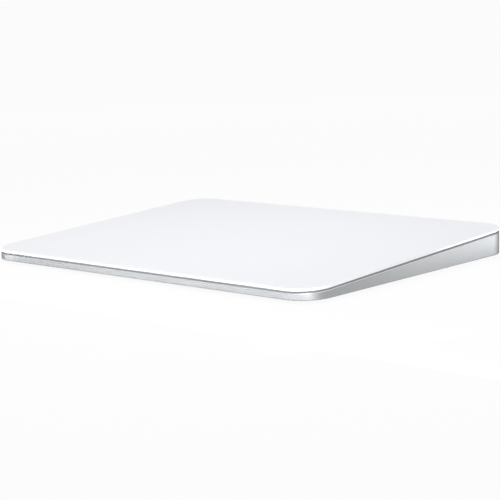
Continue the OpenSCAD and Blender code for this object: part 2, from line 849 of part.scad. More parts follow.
module cross_member() {
    color("LightGray") difference() {
        deck() translate([0, 0, member_n]) {
            translate([-member_l / 2, member_y - member_w / 2, 0])
                cube([member_l, member_w, member_t]);
            translate([-member_end, arm_y - arm_w / 2, 0])
                cube([2 * member_end, arm_w, member_t]);
        }
        at_arms() screw_hole(member_t + cut);
    }
}

module haptic_core() {
    leg_n = coil_top_n - coil_h / 2 - leg_t / 2;
    l = 2 * leg_pitch + leg_w;
    color("DimGray") deck() {
        translate([yoke_x, member_y - l / 2, member_top_n])
            cube([yoke_l, l, coil_h - yoke_drop]);
        for (k = [-1 : 1])
            translate([core_tip_x, member_y + k * leg_pitch - leg_w / 2, leg_n])
                cube([leg_l + yoke_l / 2, leg_w, leg_t]);
    }
}

module coil(k) {
    window_w = leg_w + 2 * coil_gap;
    window_t = leg_t + 2 * coil_gap;
    outer_w = window_w + 2 * coil_t;
    color("Peru") deck()
        translate([yoke_x - coil_end_gap - coil_l, member_y + k * leg_pitch, coil_top_n - coil_h / 2])
            rotate([90, 0, 90]) linear_extrude(coil_l) difference() {
                rounded_rect(outer_w, coil_h, coil_t);
                square([window_w, window_t], center = true);
            }
}

module coil_front() { coil(-1); }
module coil_middle() { coil(0); }
module coil_rear() { coil(1); }

module member_screws() {
    color("DarkGray") at_arms() screw(member_t);
}

// The flat cable from the coils lies on the arm, then turns back to the logic board
module haptic_flat() {
    w = haptic_flat_w;
    x = board_left + connector_in;
    y = arm_y - w / 2;
    arm_rear = arm_y + arm_w / 2;
    top = member_top_n + flat_t / 2;
    flat = board_top + flat_t / 2;
    points = concat(
        [[y + w, top], [y + w + (arm_rear - y - w) / 2, top], [arm_rear, top]],
        [for (k = [0.3, 0.6, 1]) deck_point(board_front + connector_in * k, flat)]
    );
    color("DarkOrange") deck() {
        translate([yoke_x + yoke_l, y, member_top_n])
            cube([x + w - yoke_x - yoke_l, w, flat_t]);
        translate([x, 0, 0]) rotate([90, 0, 90]) linear_extrude(w)
            polygon(ribbon(points, flat_t));
    }
}

// Battery

module cell(x) {
    color("SlateGray") translate([x + cell_l / 2, cell_front + cell_d / 2, cell_z])
        linear_extrude(cell_t) rounded_rect(cell_l, cell_d, cell_r);
}

module cell_left() { cell(cell_left); }
module cell_right() { cell(cell_left + cell_l + cell_gap); }

module cell_tape() {
    color("Ivory") for (x = [cell_left, cell_left + cell_l + cell_gap], k = [0.25, 0.75])
        translate([x + cell_l * k - cell_tape_w / 2, cell_front + cell_r, cover_top])
            cube([cell_tape_w, cell_d - 2 * cell_r, cell_tape_t]);
}

module guard_board() {
    color("DarkGreen") translate([cell_left, cell_rear + guard_gap, cell_z])
        cube([cell_right - cell_left, guard_t, guard_h]);
}

module battery_flat() {
    color("DarkOrange") translate([cell_right - battery_flat_l, guard_rear, board_top])
        cube([connector_x + connector_l - cell_right + battery_flat_l, flat_t, battery_flat_w]);
}

// Logic board

module logic_board() {
    color("SeaGreen") difference() {
        translate([board_left + board_w / 2, board_front + board_l / 2, board_z])
            linear_extrude(board_t) rounded_rect(board_w, board_l, board_r);
        at_board() screw_hole(board_t + cut);
    }
}

module processor() {
    color("Black") translate([board_left + chip_x, board_front + chip_y, board_top])
        cube([processor_w, processor_w, processor_h]);
}

module charger() {
    color("Black") translate([board_left + connector_in,
        board_front + chip_y + processor_w + chip_gap, board_top])
        cube([charger_w, charger_w, charger_h]);
}

module radio_shield() {
    color("Silver") translate([board_left + chip_x + processor_w + chip_gap,
        board_front + chip_y + chip_gap, board_top])
        difference() {
            cube([shield_w, shield_l, shield_h]);
            translate([shield_t, shield_t, -cut])
                cube([shield_w - 2 * shield_t, shield_l - 2 * shield_t, shield_h - shield_t + cut]);
        }
}

module antenna() {
    color("Gold") translate([board_left + connector_in + connector_l + chip_gap,
        board_front + connector_in, board_top]) {
        cube([antenna_l, antenna_t, antenna_h]);
        translate([0, 0, antenna_h - antenna_t]) cube([antenna_l, antenna_d, antenna_t]);
    }
}

module connectors() {
    color("Ivory") {
        translate([connector_x, guard_rear + flat_t, board_top])
            cube([connector_l, port_flat_y - guard_rear - 2 * flat_t, battery_flat_w]);
        translate([connector_x, port_flat_y, board_top + flat_t])
            cube([connector_l, port_flat_w, connector_h]);
        translate([board_left + connector_in, board_front + connector_in, board_top])
            cube([connector_l, connector_d, connector_h]);
        translate([touch_flat_x, board_front + 2 * connector_in, board_top])
            cube([touch_flat_w, connector_d, connector_h]);
    }
}

module board_screws() {
    color("DarkGray") at_board() screw(board_t);
}

// The flat cable from the logic board loops up to the sensor board's underside
module touch_flat() {
    y = board_front + 2 * connector_in + connector_d;
    low = board_top + connector_h / 2;
    loop_y = y + touch_flat_l;
    high_n = sensor_n - flat_t / 2;
    high = deck_z(loop_y, high_n);
    r = (high - low) / 2;
    points = concat(
        [for (k = [0, 0.3, 0.6]) [y + k * touch_flat_l, low]],
        [for (a = [-90 : 15 : 75]) [loop_y + r * cos(a), low + r + r * sin(a)]],
        [for (k = [0, 0.2, 0.4, 1] * touch_flat_pad) [loop_y - k, deck_z(loop_y - k, high_n)]]
    );
    color("DarkOrange") translate([touch_flat_x, 0, 0])
        rotate([90, 0, 90]) linear_extrude(touch_flat_w) polygon(ribbon(points, flat_t));
}

// Port

module port_shell() {
    color("Silver") translate([0, 0, port_z]) difference() {
        from_rear(port_mouth, port_l) stadium(shell_w, shell_h);
        from_rear(port_mouth + cut, port_l - port_shell_t + cut) stadium(port_w, port_h);
    }
}

module port_tongue() {
    back = port_mouth - port_l + port_shell_t;
    color("Black") translate([0, 0, port_z]) {
        from_rear(back + tongue_block, tongue_block)
            stadium(port_w - 2 * tongue_gap, port_h - 2 * tongue_gap);
        from_rear(back + tongue_block + tongue_l, tongue_l + tongue_block / 2)
            square([tongue_w, tongue_t], center = true);
    }
}

module port_contacts() {
    tip = port_mouth - port_l + port_shell_t + tongue_block + tongue_l;
    color("Gold") for (k = [-5.5 : 5.5], top = [0, 1])
        translate([k * contact_pitch - contact_w / 2, tip - contact_in - contact_l,
            port_z + (top ? tongue_t / 2 : -tongue_t / 2 - contact_t)])
            cube([contact_w, contact_l, contact_t]);
}

module port_board() {
    color("SeaGreen") difference() {
        translate([-port_board_w / 2, port_board_rear - port_board_l, port_board_z])
            cube([port_board_w, port_board_l, port_board_t]);
        at_port() screw_hole(port_board_t + cut);
    }
}

module port_screws() {
    color("DarkGray") at_port() screw(port_board_t);
}

module port_flat() {
    low = port_board_z + port_board_t + flat_t / 2;
    high = board_top + flat_t / 2;
    points = [
        [port_flat_x, low], [port_board_w / 2, low], [port_board_w / 2 + port_flat_lead, low],
        [board_left - port_flat_lead, high], [board_left, high], [connector_x + connector_l, high]
    ];
    color("DarkOrange") translate([0, port_flat_y + port_flat_w, 0]) rotate([90, 0, 0])
        linear_extrude(port_flat_w) polygon(ribbon(points, flat_t));
}

// Power switch

module switch_body() {
    peg_x = carriage_x + carriage_l / 2 - peg_t / 2 - peg_gap;
    color("DarkSlateGray") difference() {
        translate([slot_mid - switch_l / 2, switch_rear - switch_d, board_top])
            cube([switch_l, switch_d, switch_h]);
        translate([peg_x, switch_rear - peg_l, port_z - peg_t / 2 - peg_gap])
            cube([peg_t + knob_travel + 2 * peg_gap, peg_l + cut, peg_t + 2 * peg_gap]);
    }
}

module switch_knob() {
    color("DimGray") {
        translate([carriage_x, carriage_front, port_z - carriage_h / 2])
            cube([carriage_l, carriage_t, carriage_h]);
        translate([knob_x + knob_l / 2, 0, port_z])
            from_rear(half_d - knob_set, half_d - knob_set - carriage_rear + carriage_t / 2)
                stadium(knob_l, knob_h);
        translate([carriage_x + carriage_l / 2 - peg_t / 2,
            switch_rear - peg_l + peg_gap, port_z - peg_t / 2])
            cube([peg_t, switch_gap + peg_l - peg_gap + carriage_t / 2, peg_t]);
    }
}

module switch_tab() {
    color("LimeGreen") translate([knob_x, 0, port_z]) from_rear(carriage_rear + tab_t, tab_t)
        difference() {
            translate([-knob_travel, -knob_h / 2]) square([knob_travel + knob_h / 2, knob_h]);
            translate([knob_l / 2, 0]) stadium(knob_l + 2 * tab_gap, knob_h + 2 * tab_gap);
        }
}

housing();
bottom_cover();
cover_tape();
foot_front_left();
foot_front_right();
foot_rear_left();
foot_rear_right();
gap_liner();
glass_plate();
glass_film();
sensor_board();
touch_chip();
armature();
gel_front_left();
gel_front_right();
gel_rear_left();
gel_rear_right();
flexure_front_left();
flexure_front_right();
flexure_rear_left();
flexure_rear_right();
gauge_front_left();
gauge_front_right();
gauge_rear_left();
gauge_rear_right();
flexure_screws();
cross_member();
haptic_core();
coil_front();
coil_middle();
coil_rear();
member_screws();
haptic_flat();
cell_left();
cell_right();
cell_tape();
guard_board();
battery_flat();
logic_board();
processor();
charger();
radio_shield();
antenna();
connectors();
board_screws();
touch_flat();
port_shell();
port_tongue();
port_contacts();
port_board();
port_screws();
port_flat();
switch_body();
switch_knob();
switch_tab();
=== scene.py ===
import math
import bpy
from mathutils import Matrix, Vector, noise


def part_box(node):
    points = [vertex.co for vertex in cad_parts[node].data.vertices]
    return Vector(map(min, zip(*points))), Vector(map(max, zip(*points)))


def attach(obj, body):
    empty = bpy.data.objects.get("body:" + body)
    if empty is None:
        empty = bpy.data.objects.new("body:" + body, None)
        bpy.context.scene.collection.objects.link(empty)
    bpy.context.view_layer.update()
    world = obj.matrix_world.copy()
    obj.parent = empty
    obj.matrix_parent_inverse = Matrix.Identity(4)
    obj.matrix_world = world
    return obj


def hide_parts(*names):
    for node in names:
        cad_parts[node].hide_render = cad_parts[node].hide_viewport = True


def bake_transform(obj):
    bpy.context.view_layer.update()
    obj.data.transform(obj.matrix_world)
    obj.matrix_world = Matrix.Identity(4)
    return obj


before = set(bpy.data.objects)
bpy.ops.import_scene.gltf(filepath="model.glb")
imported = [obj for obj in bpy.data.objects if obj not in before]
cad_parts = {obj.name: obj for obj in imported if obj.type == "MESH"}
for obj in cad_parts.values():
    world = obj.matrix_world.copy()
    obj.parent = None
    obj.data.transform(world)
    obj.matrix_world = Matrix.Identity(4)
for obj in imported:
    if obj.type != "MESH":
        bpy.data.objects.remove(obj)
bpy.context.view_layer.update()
scene = bpy.context.scene
mm = 0.001
print("frame loaded:", len(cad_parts), "nodes")

# the glass lies on a slope: 4.9 mm high at the front edge, 10.9 mm at the rear
deckSpec = {"depth": 114.9, "rise": 6.0, "middle": 7.9}
slope = math.atan2(deckSpec["rise"], deckSpec["depth"])
deckNormal = (0, -math.sin(slope), math.cos(slope))
deckPlace = Matrix.Translation((0, 0, deckSpec["middle"] * mm)) @ Matrix.Rotation(slope, 4, "X")


# camera, solved from the photo's edges
cameraSpec = {
    "azimuth": 42.56, "elevation": 9.42, "roll": -1.914,
    "distance": 597.2 * mm, "lens": 114.7, "sensor": 36.0,
    "aim": Vector((2.57, -0.12, 3.12)) * mm, "nearClip": 0.01,
}


def addCamera(spec):
    az, el, roll = (math.radians(spec[k]) for k in ("azimuth", "elevation", "roll"))
    back = Vector((math.sin(az) * math.cos(el), -math.cos(az) * math.cos(el), math.sin(el)))
    flatRight = Vector((math.cos(az), math.sin(az), 0))
    flatUp = back.cross(flatRight)
    right = flatRight * math.cos(roll) + flatUp * math.sin(roll)
    up = flatUp * math.cos(roll) - flatRight * math.sin(roll)
    data = bpy.data.cameras.new("photoCamera")
    data.sensor_width = spec["sensor"]
    data.sensor_fit = "HORIZONTAL"
    data.lens = spec["lens"]
    data.clip_start = spec["nearClip"]
    cam = bpy.data.objects.new("photoCamera", data)
    turn = Matrix((right, up, back)).transposed().to_4x4()
    cam.matrix_world = Matrix.Translation(spec["aim"] + back * spec["distance"]) @ turn
    scene.collection.objects.link(cam)
    scene.camera = cam


addCamera(cameraSpec)
print("camera set")


# small helpers for the node trees
def linear(hexText):
    parts = [int(hexText[i:i + 2], 16) / 255 for i in (0, 2, 4)]
    return tuple(c / 12.92 if c <= 0.04045 else ((c + 0.055) / 1.055) ** 2.4 for c in parts) + (1.0,)


def perMm(size):
    return 1 / (size * mm)  # texture scale for a pattern of this size in millimetres


def addNode(tree, kind, inputs=None, **settings):
    node = tree.nodes.new(kind)
    for key, value in settings.items():
        setattr(node, key, value)
    for key, value in (inputs or {}).items():
        if isinstance(value, bpy.types.NodeSocket):
            tree.links.new(value, node.inputs[key])
        else:
            node.inputs[key].default_value = value
    return node


def newMaterial(name):
    mat = bpy.data.materials.new(name)
    mat.use_nodes = True
    mat.node_tree.nodes.clear()
    return mat, mat.node_tree


grainSpan = (0.3, 0.7)  # the part of the noise's range that the roughness follows


def layFinish(tree, place, spec):
    # a colour that drifts a little, and a fine grain that the roughness follows
    drift = addNode(tree, "ShaderNodeTexNoise", {"Vector": place, "Scale": perMm(spec["drift"])}).outputs[0]
    colour = addNode(tree, "ShaderNodeMix", {0: drift, 6: linear(spec["dark"]), 7: linear(spec["light"])},
                     data_type="RGBA").outputs[2]
    grain = addNode(tree, "ShaderNodeTexNoise",
                    {"Vector": place, "Scale": perMm(spec["grain"]), "Detail": 3.0}).outputs[0]
    low, high = spec["roughness"]
    rough = addNode(tree, "ShaderNodeMapRange",
                    {0: grain, 1: grainSpan[0], 2: grainSpan[1], 3: low, 4: high}).outputs[0]
    return colour, rough, grain


def finishMaterial(tree, spec, colour, rough, height, **more):
    bump = addNode(tree, "ShaderNodeBump", {"Strength": spec["bump"], "Distance": spec["depth"] * mm,
                                            "Height": height}).outputs[0]
    shader = addNode(tree, "ShaderNodeBsdfPrincipled",
                     {"Base Color": colour, "Roughness": rough, "Normal": bump, **spec["shader"], **more})
    addNode(tree, "ShaderNodeOutputMaterial", {"Surface": shader.outputs[0]})


# aluminium, bead blasted and clear anodised: satin silver with a broad soft sheen that darkens
# where the oxide film is seen at a glancing angle, as at the outer corners; the blasted grain is
# about 0.05 mm and is drawn seven times coarser so that it shows
housingFinish = {
    "dark": "AEB0B2", "light": "B6B8BA", "drift": 14, "grain": 0.35, "bump": 0.10, "depth": 0.02,
    # the cut edge colour is a painted highlight on every face that leans up; only its lower roughness is the
    # cut's real finish
    "roughness": (0.40, 0.46), "cutEdgePaintedHighlight": "DADCDE", "cutRoughness": 0.24, "cutLean": (0.35, 0.6),
    "shader": {"Metallic": 1.0, "Specular Tint": (0.25, 0.25, 0.25, 1)},
}


def anodisedAluminium(spec):
    mat, tree = newMaterial("anodisedAluminium")
    coords = addNode(tree, "ShaderNodeTexCoord").outputs
    body, rough, grain = layFinish(tree, coords["Object"], spec)
    # the cut chamfer along the rim leans outwards and up: its lower roughness is the cut's own finish, and
    # its lighter colour is a painted highlight, laid on every face that leans up
    up = addNode(tree, "ShaderNodeSeparateXYZ", {0: coords["Normal"]}).outputs["Z"]
    low, high = spec["cutLean"]
    cut = addNode(tree, "ShaderNodeMapRange", {0: up, 1: low, 2: high},
                  interpolation_type="SMOOTHSTEP").outputs[0]
    colour = addNode(tree, "ShaderNodeMix", {0: cut, 6: body, 7: linear(spec["cutEdgePaintedHighlight"])},
                     data_type="RGBA").outputs[2]
    sheen = addNode(tree, "ShaderNodeMix", {0: cut, 2: rough, 3: spec["cutRoughness"]}).outputs[0]
    finishMaterial(tree, spec, colour, sheen, grain)
    return mat


# soda lime glass, finely etched on top, polished round its edge and painted white behind:
# an even cool white under a soft satin gloss, with a clearer, glossier line along the edge whose brighter
# colour is a painted highlight
glassFinish = {
    "dark": "F3F5F9", "light": "F5F7FB", "drift": 30, "grain": 0.3, "bump": 0.04, "depth": 0.01,
    "roughness": (0.30, 0.36), "edge": "FAFBFD", "edgeRoughness": 0.10, "flatLean": (0.75, 0.995),
    "shader": {"IOR": 1.52},
}


def etchedWhiteGlass(spec):
    mat, tree = newMaterial("etchedWhiteGlass")
    coords = addNode(tree, "ShaderNodeTexCoord").outputs
    top, rough, grain = layFinish(tree, coords["Object"], spec)
    up = addNode(tree, "ShaderNodeVectorMath", {0: coords["Normal"], 1: deckNormal},
                 operation="DOT_PRODUCT").outputs["Value"]
    low, high = spec["flatLean"]
    flat = addNode(tree, "ShaderNodeMapRange", {0: up, 1: low, 2: high},
                   interpolation_type="SMOOTHSTEP").outputs[0]
    # the edge takes a lighter colour than the top: a painted highlight; its lower roughness is the polish
    colour = addNode(tree, "ShaderNodeMix", {0: flat, 6: linear(spec["edge"]), 7: top},
                     data_type="RGBA").outputs[2]
    sheen = addNode(tree, "ShaderNodeMix", {0: flat, 2: spec["edgeRoughness"], 3: rough}).outputs[0]
    finishMaterial(tree, spec, colour, sheen, grain)
    return mat


def grained(name, spec):
    mat, tree = newMaterial(name)
    place = addNode(tree, "ShaderNodeTexCoord").outputs["Object"]
    if "stretch" in spec:
        place = addNode(tree, "ShaderNodeMapping", {"Vector": place, "Scale": spec["stretch"]}).outputs[0]
    finishMaterial(tree, spec, *layFinish(tree, place, spec))
    return mat


plainFinishes = {
    # closed cell rubber foam, die cut: matt grey with fine pores
    "foamRubber": {"dark": "A2A3A6", "light": "ACADB0", "grain": 0.3, "drift": 5, "bump": 0.3, "depth": 0.04,
                   "roughness": (0.80, 0.95), "shader": {"IOR": 1.45}},
    # silicone rubber, moulded: pale grey and matt, with a faint moulded grain
    "mouldedRubber": {"dark": "C6C7C9", "light": "D0D1D3", "grain": 0.25, "drift": 4, "bump": 0.2,
                      "depth": 0.03, "roughness": (0.60, 0.78), "shader": {"IOR": 1.43}},
    # ABS, moulded with a fine spark eroded grain: light grey and softly matt
    "sparkErodedPlastic": {"dark": "C9CBCE", "light": "D2D4D7", "grain": 0.2, "drift": 3, "bump": 0.15,
                           "depth": 0.02, "roughness": (0.42, 0.55), "shader": {"IOR": 1.53}},
    # ABS, moulded in a signal green: bright and a little glossy
    "mouldedGreenPlastic": {"dark": "2F9A4C", "light": "3BAE5A", "grain": 0.2, "drift": 2, "bump": 0.1,
                            "depth": 0.01, "roughness": (0.30, 0.42), "shader": {"IOR": 1.53}},
    # glass filled nylon, moulded: near black with the faint streaks of its fibres
    "glassFilledNylon": {"dark": "19191A", "light": "242425", "grain": 0.25, "drift": 2, "bump": 0.25,
                         "depth": 0.02, "roughness": (0.45, 0.62), "stretch": (1, 4, 1),
                         "shader": {"IOR": 1.52}},
    # plain nylon, moulded: ivory and waxy
    "mouldedNylon": {"dark": "DDD6C2", "light": "E7E1D0", "grain": 0.3, "drift": 2, "bump": 0.1,
                     "depth": 0.01, "roughness": (0.38, 0.50), "shader": {"IOR": 1.53}},
    # epoxy, moulded round a chip: black grey with a fine sandy face
    "mouldedEpoxy": {"dark": "232427", "light": "2E2F33", "grain": 0.15, "drift": 3, "bump": 0.3,
                     "depth": 0.02, "roughness": (0.55, 0.70), "shader": {"IOR": 1.55}},
    # acrylic foam tape, slit: dark grey, matt and a little spongy
    "acrylicFoamTape": {"dark": "3B3C3E", "light": "47484B", "grain": 0.4, "drift": 4, "bump": 0.3,
                        "depth": 0.05, "roughness": (0.70, 0.85), "shader": {"IOR": 1.48}},
    # clear adhesive film, cast: colourless and smooth
    "clearAdhesiveFilm": {"dark": "E6EBEC", "light": "EFF3F4", "grain": 0.8, "drift": 12, "bump": 0.05,
                          "depth": 0.01, "roughness": (0.06, 0.14),
                          "shader": {"IOR": 1.47, "Transmission Weight": 0.7}},
    # silicone gel, poured: clear, soft and wet looking
    "siliconeGel": {"dark": "DDE6E8", "light": "EAF1F2", "grain": 1.2, "drift": 3, "bump": 0.1, "depth": 0.03,
                    "roughness": (0.08, 0.16), "shader": {"IOR": 1.41, "Transmission Weight": 0.8}},
    # spring steel, cold rolled strip: bright grey with fine rolling lines along its length
    "rolledSpringSteel": {"dark": "A9ABAE", "light": "B9BBBE", "grain": 0.3, "drift": 5, "bump": 0.12,
                          "depth": 0.01, "roughness": (0.22, 0.38), "stretch": (0.06, 1, 1),
                          "shader": {"Metallic": 1.0}},
    # steel, zinc plated: pale bluish grey, slightly cloudy
    "zincPlatedSteel": {"dark": "B3B7BC", "light": "C6CACE", "grain": 0.2, "drift": 0.8, "bump": 0.1,
                        "depth": 0.01, "roughness": (0.25, 0.40), "shader": {"Metallic": 1.0}},
    # nickel plated sheet, stamped: warm pale grey with faint drawing lines
    "nickelPlatedSheet": {"dark": "BDB9B0", "light": "CAC6BD", "grain": 0.25, "drift": 4, "bump": 0.1,
                          "depth": 0.01, "roughness": (0.22, 0.34), "stretch": (0.1, 1, 1),
                          "shader": {"Metallic": 1.0}},
    # copper alloy, gold plated: deep yellow and smooth
    "goldPlating": {"dark": "D2A94F", "light": "DFBB66", "grain": 0.15, "drift": 1, "bump": 0.08,
                    "depth": 0.005, "roughness": (0.18, 0.28), "shader": {"Metallic": 1.0}},
    # copper wire, enamelled: reddish brown under a clear varnish
    "enamelledCopper": {"dark": "A4552A", "light": "BC6A38", "grain": 0.4, "drift": 3, "bump": 0.08,
                        "depth": 0.01, "roughness": (0.26, 0.36),
                        "shader": {"Metallic": 1.0, "Coat Weight": 0.6, "Coat Roughness": 0.1}},
    # aluminium laminate pouch, heat sealed: dull silver with soft wrinkles
    "pouchFoil": {"dark": "A6A9AC", "light": "B4B7BA", "grain": 1.6, "drift": 9, "bump": 0.25, "depth": 0.08,
                  "roughness": (0.32, 0.46), "shader": {"Metallic": 0.85}},
    # ceramic, sintered: the tan body of a chip capacitor
    "sinteredCeramic": {"dark": "8E7358", "light": "A1876B", "grain": 0.1, "drift": 0.6, "bump": 0.2,
                        "depth": 0.01, "roughness": (0.50, 0.65), "shader": {"IOR": 1.6}},
    # tin, reflowed solder: soft silver
    "reflowedTin": {"dark": "B9BAB7", "light": "C9CAC7", "grain": 0.1, "drift": 0.5, "bump": 0.2,
                    "depth": 0.01, "roughness": (0.24, 0.36), "shader": {"Metallic": 1.0}},
}


lineSoftness = 0.12  # the part of a stripe's wave over which its line fades in


def striped(name, spec):
    # even lines across one axis of the part, such as tracks in a film or sheets in a stack
    mat, tree = newMaterial(name)
    place = addNode(tree, "ShaderNodeTexCoord").outputs["Object"]
    base, rough = layFinish(tree, place, spec)[:2]
    wave = addNode(tree, "ShaderNodeTexWave", {"Vector": place, "Scale": math.pi / 10 * perMm(spec["pitch"])},
                   bands_direction=spec["across"]).outputs["Fac"]
    line = addNode(tree, "ShaderNodeMapRange",
                   {0: wave, 1: spec["gap"], 2: spec["gap"] + lineSoftness}).outputs[0]
    colour = addNode(tree, "ShaderNodeMix", {0: line, 6: base, 7: linear(spec["line"])},
                     data_type="RGBA").outputs[2]
    finishMaterial(tree, spec, colour, rough, line)
    return mat


# polyimide film with copper tracks inside, laminated: clear amber with darker even lines
filmFinish = {"dark": "B5762E", "light": "C4863B", "line": "8A4B1E", "pitch": 0.5, "gap": 0.5, "drift": 3,
              "grain": 0.4, "roughness": (0.22, 0.34), "bump": 0.2, "depth": 0.02, "shader": {"IOR": 1.7}}

# silicon steel sheets, stamped and stacked: grey edges with fine dark joints, 0.35 mm apart
stackFinish = {"dark": "8F9296", "light": "9DA0A4", "line": "5E6165", "pitch": 0.35, "gap": 0.8, "drift": 4,
               "grain": 0.2, "roughness": (0.35, 0.55), "bump": 0.3, "depth": 0.02, "across": "Z",
               "shader": {"Metallic": 1.0}}

# glass fibre board under solder mask: deep green, with lighter tracks below the mask
# and groups of tinned vias
boardFinish = {"dark": "17382B", "light": "1D4434", "track": "2C6149", "pad": "BDBDB2", "trackRow": 0.8,
               "trackLength": 14.0, "trackWidth": 0.04, "trackSoftness": 0.2, "trackShift": 0.37,
               "shortRow": 0.6, "shortEvery": 3, "padStep": 1.2, "padSize": 0.22, "padGroup": 9.0,
               "groupEdge": (0.56, 0.60),
               "drift": 6, "grain": 0.4, "bump": 0.25, "depth": 0.03, "roughness": (0.34, 0.46),
               "shader": {"IOR": 1.5}}


def solderMaskBoard(spec):
    mat, tree = newMaterial("solderMaskBoard")
    place = addNode(tree, "ShaderNodeTexCoord").outputs["Object"]
    mask, rough = layFinish(tree, place, spec)[:2]
    rows = addNode(tree, "ShaderNodeTexBrick",
                   {"Vector": place, "Scale": perMm(1.0), "Brick Width": spec["trackLength"],
                    "Row Height": spec["trackRow"], "Mortar Size": spec["trackWidth"],
                    "Mortar Smooth": spec["trackSoftness"]},
                   offset=spec["trackShift"], squash=spec["shortRow"],
                   squash_frequency=spec["shortEvery"]).outputs["Fac"]
    dots = addNode(tree, "ShaderNodeTexVoronoi",
                   {"Vector": place, "Scale": perMm(spec["padStep"]), "Randomness": 0.0},
                   voronoi_dimensions="2D").outputs["Distance"]
    group = addNode(tree, "ShaderNodeTexNoise",
                    {"Vector": place, "Scale": perMm(spec["padGroup"])}).outputs[0]
    low, high = spec["groupEdge"]
    size = addNode(tree, "ShaderNodeMapRange",
                   {0: group, 1: low, 2: high, 3: 0.0, 4: spec["padSize"]}).outputs[0]
    pad = addNode(tree, "ShaderNodeMath", {0: dots, 1: size}, operation="LESS_THAN").outputs[0]
    tracks = addNode(tree, "ShaderNodeMix", {0: rows, 6: mask, 7: linear(spec["track"])},
                     data_type="RGBA").outputs[2]
    colour = addNode(tree, "ShaderNodeMix", {0: pad, 6: tracks, 7: linear(spec["pad"])},
                     data_type="RGBA").outputs[2]
    height = addNode(tree, "ShaderNodeMath", {0: rows, 1: pad}, operation="MAXIMUM").outputs[0]
    finishMaterial(tree, spec, colour, rough, height, Metallic=pad)
    return mat


def setMaterial(mat, *names):
    for name in names:
        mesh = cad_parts[name].data
        mesh.materials.clear()
        mesh.materials.append(mat)


def atCorners(kind):
    return [kind + "_" + side for side in ("front_left", "front_right", "rear_left", "rear_right")]


finish = {name: grained(name, spec) for name, spec in plainFinishes.items()}
setMaterial(anodisedAluminium(housingFinish), "housing", "bottom_cover")
setMaterial(etchedWhiteGlass(glassFinish), "glass_plate")
setMaterial(finish["foamRubber"], "gap_liner")
setMaterial(finish["mouldedRubber"], *atCorners("foot"))
setMaterial(finish["sparkErodedPlastic"], "switch_knob")
setMaterial(finish["mouldedGreenPlastic"], "switch_tab")
setMaterial(finish["glassFilledNylon"], "port_tongue", "switch_body")
setMaterial(finish["nickelPlatedSheet"], "port_shell", "radio_shield", "antenna")
setMaterial(finish["goldPlating"], "port_contacts")
setMaterial(finish["mouldedNylon"], "connectors")
setMaterial(finish["mouldedEpoxy"], "touch_chip", "processor", "charger")
setMaterial(finish["acrylicFoamTape"], "cover_tape", "cell_tape")
setMaterial(finish["clearAdhesiveFilm"], "glass_film")
setMaterial(finish["siliconeGel"], *atCorners("gel"))
setMaterial(finish["rolledSpringSteel"], "cross_member", *atCorners("flexure"))
setMaterial(finish["zincPlatedSteel"], "flexure_screws", "member_screws", "board_screws", "port_screws")
setMaterial(finish["pouchFoil"], "cell_left", "cell_right")
setMaterial(finish["enamelledCopper"], "coil_front", "coil_middle", "coil_rear")
setMaterial(striped("polyimideFilmAlongX", {**filmFinish, "across": "Y"}), "haptic_flat", "port_flat")
setMaterial(striped("polyimideFilmAlongY", {**filmFinish, "across": "X"}), "touch_flat", *atCorners("gauge"))
setMaterial(striped("polyimideFilmUpright", {**filmFinish, "across": "Z"}), "battery_flat")
setMaterial(striped("stackedCoreSteel", stackFinish), "haptic_core", "armature")
setMaterial(solderMaskBoard(boardFinish), "sensor_board", "logic_board", "port_board", "guard_board")
print("materials made:", len(bpy.data.materials))


# pieces grown by node trees
def newTree(name, sockets):
    tree = bpy.data.node_groups.new(name, "GeometryNodeTree")
    for label, kind in sockets.items():
        tree.interface.new_socket(label, in_out="INPUT", socket_type="NodeSocket" + kind)
    tree.interface.new_socket("Geometry", in_out="OUTPUT", socket_type="NodeSocketGeometry")
    return tree, tree.nodes.new("NodeGroupInput").outputs


def growPiece(name, tree, mesh, values, place):
    piece = bpy.data.objects.new(name, mesh)
    scene.collection.objects.link(piece)
    grow = piece.modifiers.new("grow", "NODES")
    grow.node_group = tree
    for item in tree.interface.items_tree:
        if item.in_out == "INPUT" and item.name in values:
            grow[item.identifier] = values[item.name]
    graph = bpy.context.evaluated_depsgraph_get()
    plain = bpy.data.meshes.new_from_object(piece.evaluated_get(graph))
    piece.modifiers.remove(grow)
    plain.name = name
    plain.transform(place)
    piece.data = plain
    print(name, "grown:", len(plain.polygons), "faces")
    return piece


# the three coils: one unbroken wire each, wound flat round a leg of the core (millimetres)
coilSpec = {"turns": 37.0, "length": 18.0, "start": -11.0, "halfWidth": 2.8, "halfHeight": 0.9, "wire": 0.46,
            "count": 3, "firstY": -7.5, "step": 8.5, "level": -3.4, "squareness": 0.75, "pointsPerTurn": 16,
            "wireSides": 6}


